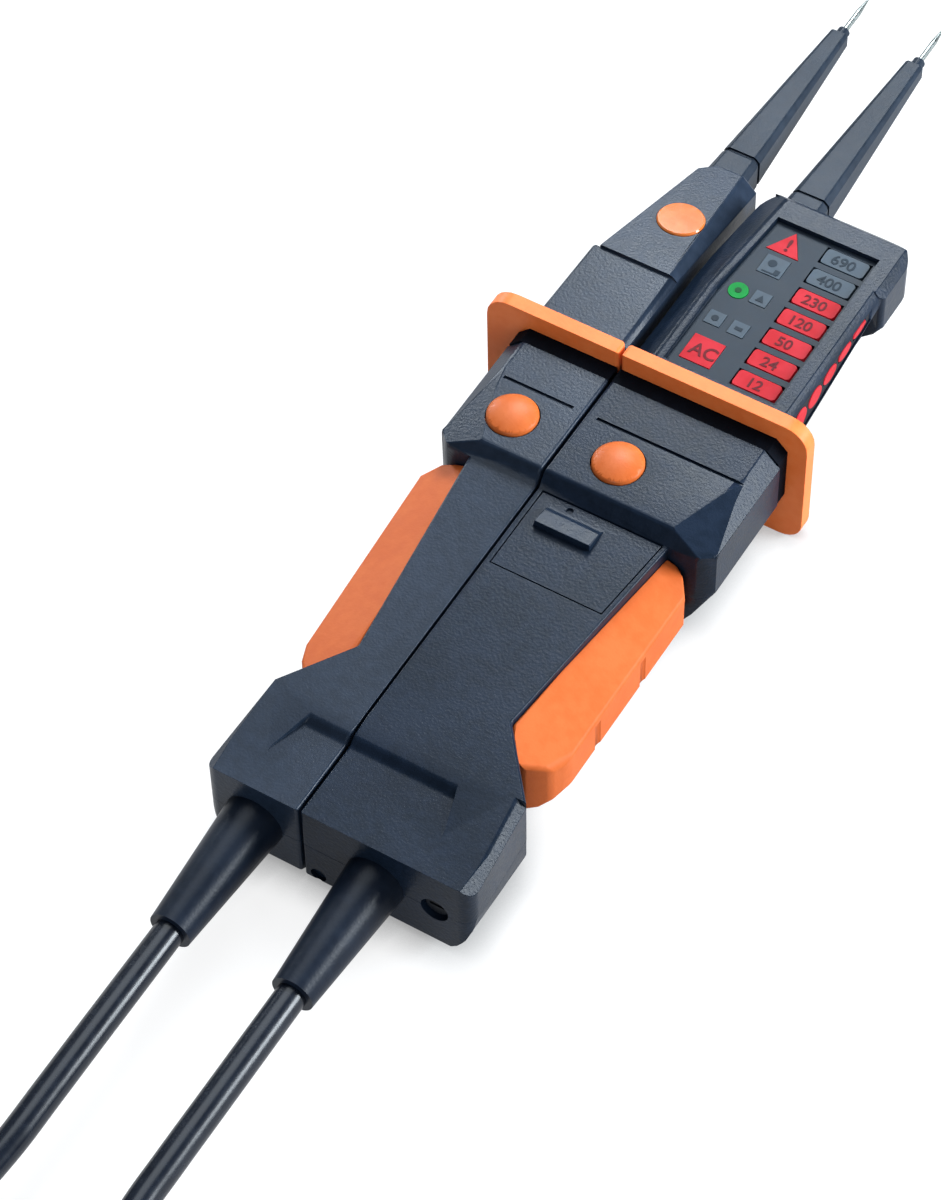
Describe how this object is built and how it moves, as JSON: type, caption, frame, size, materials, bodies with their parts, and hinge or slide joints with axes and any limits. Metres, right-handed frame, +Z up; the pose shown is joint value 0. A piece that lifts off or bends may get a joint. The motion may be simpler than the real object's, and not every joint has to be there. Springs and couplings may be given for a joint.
{
  "type": "two-pole voltage tester",
  "caption": "Two-pole voltage tester: a display handle and a probe handle docked side by side, each with a guard, grip pad, button and test probe, joined by a cord.",
  "frame": {"origin": "middle of the underside of the tester without its cord and strain reliefs, on the surface it lies on", "axes": "+Y along the handles towards the probe tips, +Z up out of the display, +X towards the display unit"},
  "size_m": [0.0904, 0.4648, 0.0345],
  "materials": {
    "housing": "fine moulded texture",
    "guard": "satin moulded",
    "grip": "matt soft-touch",
    "sleeve": "satin moulded",
    "tip": "turned",
    "panel": "satin",
    "red_light": "smooth translucent",
    "green_light": "smooth translucent",
    "grey_light": "smooth translucent",
    "side_window": "polished",
    "circuit_board": "solder mask",
    "led": "smooth",
    "black_plastic": "moulded",
    "button": "matt soft-touch",
    "cell": "plain sleeve",
    "contact": "plain",
    "badge": "glossy, plain",
    "screw": "blackened",
    "relief": "matt",
    "cord": "smooth"
  },
  "bodies": {
    "display_unit": {"main_front_shell": "housing", "main_rear_shell": "housing", "main_guard": "guard", "main_grip_pad": "grip", "main_probe_sleeve": "sleeve", "main_probe_tip": "tip", "display_panel": "panel", "voltage_light_bars": "red_light", "warning_light": "red_light", "polarity_light": "red_light", "continuity_light": "green_light", "symbol_lights": "grey_light", "side_window": "side_window", "side_lights": "red_light", "display_circuit_board": "circuit_board", "display_leds": "led", "buzzer": "black_plastic", "main_button_switch": "black_plastic", "battery_cells": "cell", "battery_contacts": "contact", "battery_tray": "black_plastic", "end_screw": "screw", "main_rear_screws": "screw", "main_strain_relief": "relief", "main_cord": "cord", "cord_coil": "cord"},
    "probe_unit": {"probe_front_shell": "housing", "probe_rear_shell": "housing", "probe_guard": "guard", "probe_grip_pad": "grip", "probe_probe_sleeve": "sleeve", "probe_probe_tip": "tip", "probe_button_switch": "black_plastic", "probe_circuit_board": "circuit_board", "probe_badge": "badge", "docking_pegs": "black_plastic", "probe_rear_screws": "screw", "probe_strain_relief": "relief", "probe_cord": "cord"},
    "display_unit_button": {"main_button": "button"},
    "probe_unit_button": {"probe_button": "button"},
    "lid": {"battery_lid": "housing"}
  },
  "joints": [
    {"name": "display_button_press", "type": "slide", "parent": "display_unit", "child": "display_unit_button", "axis": [0, 0, -1], "range_m": [0, 0.001], "stiffness_N_per_m": 500, "springref_m": -0.0005},
    {"name": "probe_button_press", "type": "slide", "parent": "probe_unit", "child": "probe_unit_button", "axis": [0, 0, -1], "range_m": [0, 0.001], "stiffness_N_per_m": 500, "springref_m": -0.0005},
    {"name": "battery_lid_lift", "type": "slide", "parent": "display_unit", "child": "lid", "axis": [0, 0, 1], "range_m": [0, 0.04]},
    {"name": "handles_apart", "type": "slide", "parent": "display_unit", "child": "probe_unit", "axis": [-1, 0, 0], "range_m": [0, 0.04]}
  ]
}
